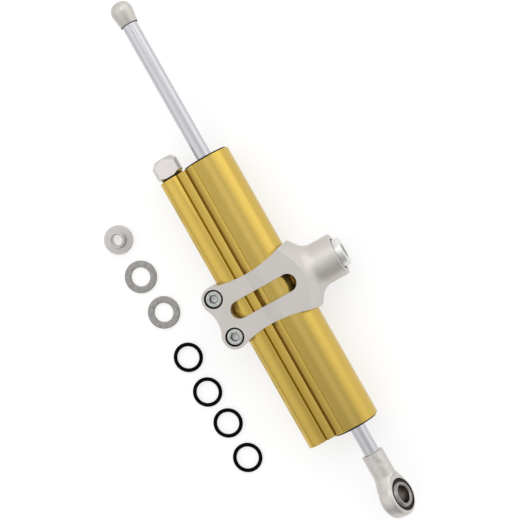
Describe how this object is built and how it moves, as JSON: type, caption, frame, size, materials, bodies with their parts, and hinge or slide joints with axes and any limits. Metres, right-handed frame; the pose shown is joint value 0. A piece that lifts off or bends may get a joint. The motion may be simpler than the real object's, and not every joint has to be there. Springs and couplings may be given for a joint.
{
  "type": "steering damper",
  "caption": "Linear motorcycle steering damper: through-rod hydraulic barrel with side reservoir and click adjuster, split clamp with swivel pivot, spherical rod end and fitting kit.",
  "frame": {"origin": "centre of the pivot sleeve's outer face, where the damper is bolted to the frame", "axes": "+X along the rod from its cap to the rod end, +Y along the clamp's pivot out of the sleeve's mouth, +Z out of the flat that carries the clamp screws' heads"},
  "size_m": [0.3234, 0.12, 0.0352],
  "materials": {
    "gold_anodised": "bright anodised extrusion",
    "black_anodised": "satin anodised",
    "satin_aluminium": "tumbled satin",
    "turned_aluminium": "fine turned",
    "hard_chrome": "polished hard chrome",
    "steel": "ground",
    "dark_steel": "black oxide",
    "spring_steel": "bright wire",
    "zinc_steel": "mottled zinc",
    "bronze": "turned bronze",
    "black_polymer": "moulded",
    "black_rubber": "smooth nitrile"
  },
  "bodies": {
    "clamp": {"clamp": "satin_aluminium", "clamp_screws": "steel", "pivot_bush": "black_polymer", "pivot_dust_seal": "black_rubber", "top_hat_spacer": "satin_aluminium", "fitting_washers": "zinc_steel", "fitting_o_rings": "black_rubber"},
    "pivot": {"pivot_sleeve": "steel"},
    "barrel": {"damper_body": "gold_anodised", "upper_seal_head": "black_anodised", "lower_seal_head": "black_anodised", "rod_bushes": "bronze", "rod_seals": "black_rubber", "rod_wipers": "black_rubber", "seal_head_o_rings": "black_rubber", "adjuster_housing": "black_anodised", "adjuster_o_ring": "black_rubber", "needle_guide": "bronze", "valve_seat": "bronze", "reservoir_end_plug": "turned_aluminium", "end_plug_o_ring": "black_rubber", "end_plug_circlip": "dark_steel", "compensator_spring": "spring_steel"},
    "piston_ring": {"piston_band": "black_polymer"},
    "rod": {"rod": "hard_chrome", "piston": "turned_aluminium", "piston_circlips": "dark_steel", "rod_cap": "turned_aluminium", "bump_washer": "black_rubber", "rod_end_body": "turned_aluminium"},
    "race": {"rod_end_race": "black_polymer"},
    "ball": {"swivel_ball": "steel"},
    "knob": {"adjuster_knob": "turned_aluminium", "adjuster_spindle": "steel", "knob_grub_screw": "dark_steel", "detent_ball": "steel", "detent_spring": "spring_steel"},
    "needle": {"metering_needle": "steel"},
    "compensator": {"compensator_piston": "turned_aluminium", "compensator_seal": "black_rubber"}
  },
  "joints": [
    {"name": "pivot_spin", "type": "hinge", "parent": "clamp", "child": "pivot", "pos_m": [0, 0, 0], "axis": [0, 1, 0], "continuous": true},
    {"name": "clamp_slide", "type": "slide", "parent": "clamp", "child": "barrel", "axis": [1, 0, 0], "range_m": [-0.059, 0.055]},
    {"name": "rod_slide", "type": "slide", "parent": "barrel", "child": "piston_ring", "axis": [1, 0, 0], "range_m": [-0.01, 0.08]},
    {"name": "rod_spin", "type": "hinge", "parent": "piston_ring", "child": "rod", "pos_m": [0, -0.0419, 0], "axis": [1, 0, 0], "continuous": true},
    {"name": "eye_spin", "type": "hinge", "parent": "rod", "child": "race", "pos_m": [0.1322, -0.0419, 0], "axis": [0, 0.8988, 0.4384], "continuous": true},
    {"name": "ball_tilt", "type": "hinge", "parent": "race", "child": "ball", "pos_m": [0.1322, -0.0419, 0], "axis": [1, 0, 0], "range_deg": [-12, 12]},
    {"name": "knob_turn", "type": "hinge", "parent": "barrel", "child": "knob", "pos_m": [-0.0818, -0.0629, 0], "axis": [1, 0, 0], "range_deg": [0, 315]},
    {"name": "needle_slide", "type": "slide", "parent": "barrel", "child": "needle", "axis": [1, 0, 0], "range_m": [0, 0.0007]},
    {"name": "compensator_slide", "type": "slide", "parent": "barrel", "child": "compensator", "axis": [1, 0, 0], "range_m": [-0.004, 0.004], "stiffness_N_per_m": 800, "deforming": ["compensator_spring"]}
  ],
  "couplings": [
    {"joint": "knob_turn", "follows": "needle_slide", "rad_per_m": 7854}
  ]
}
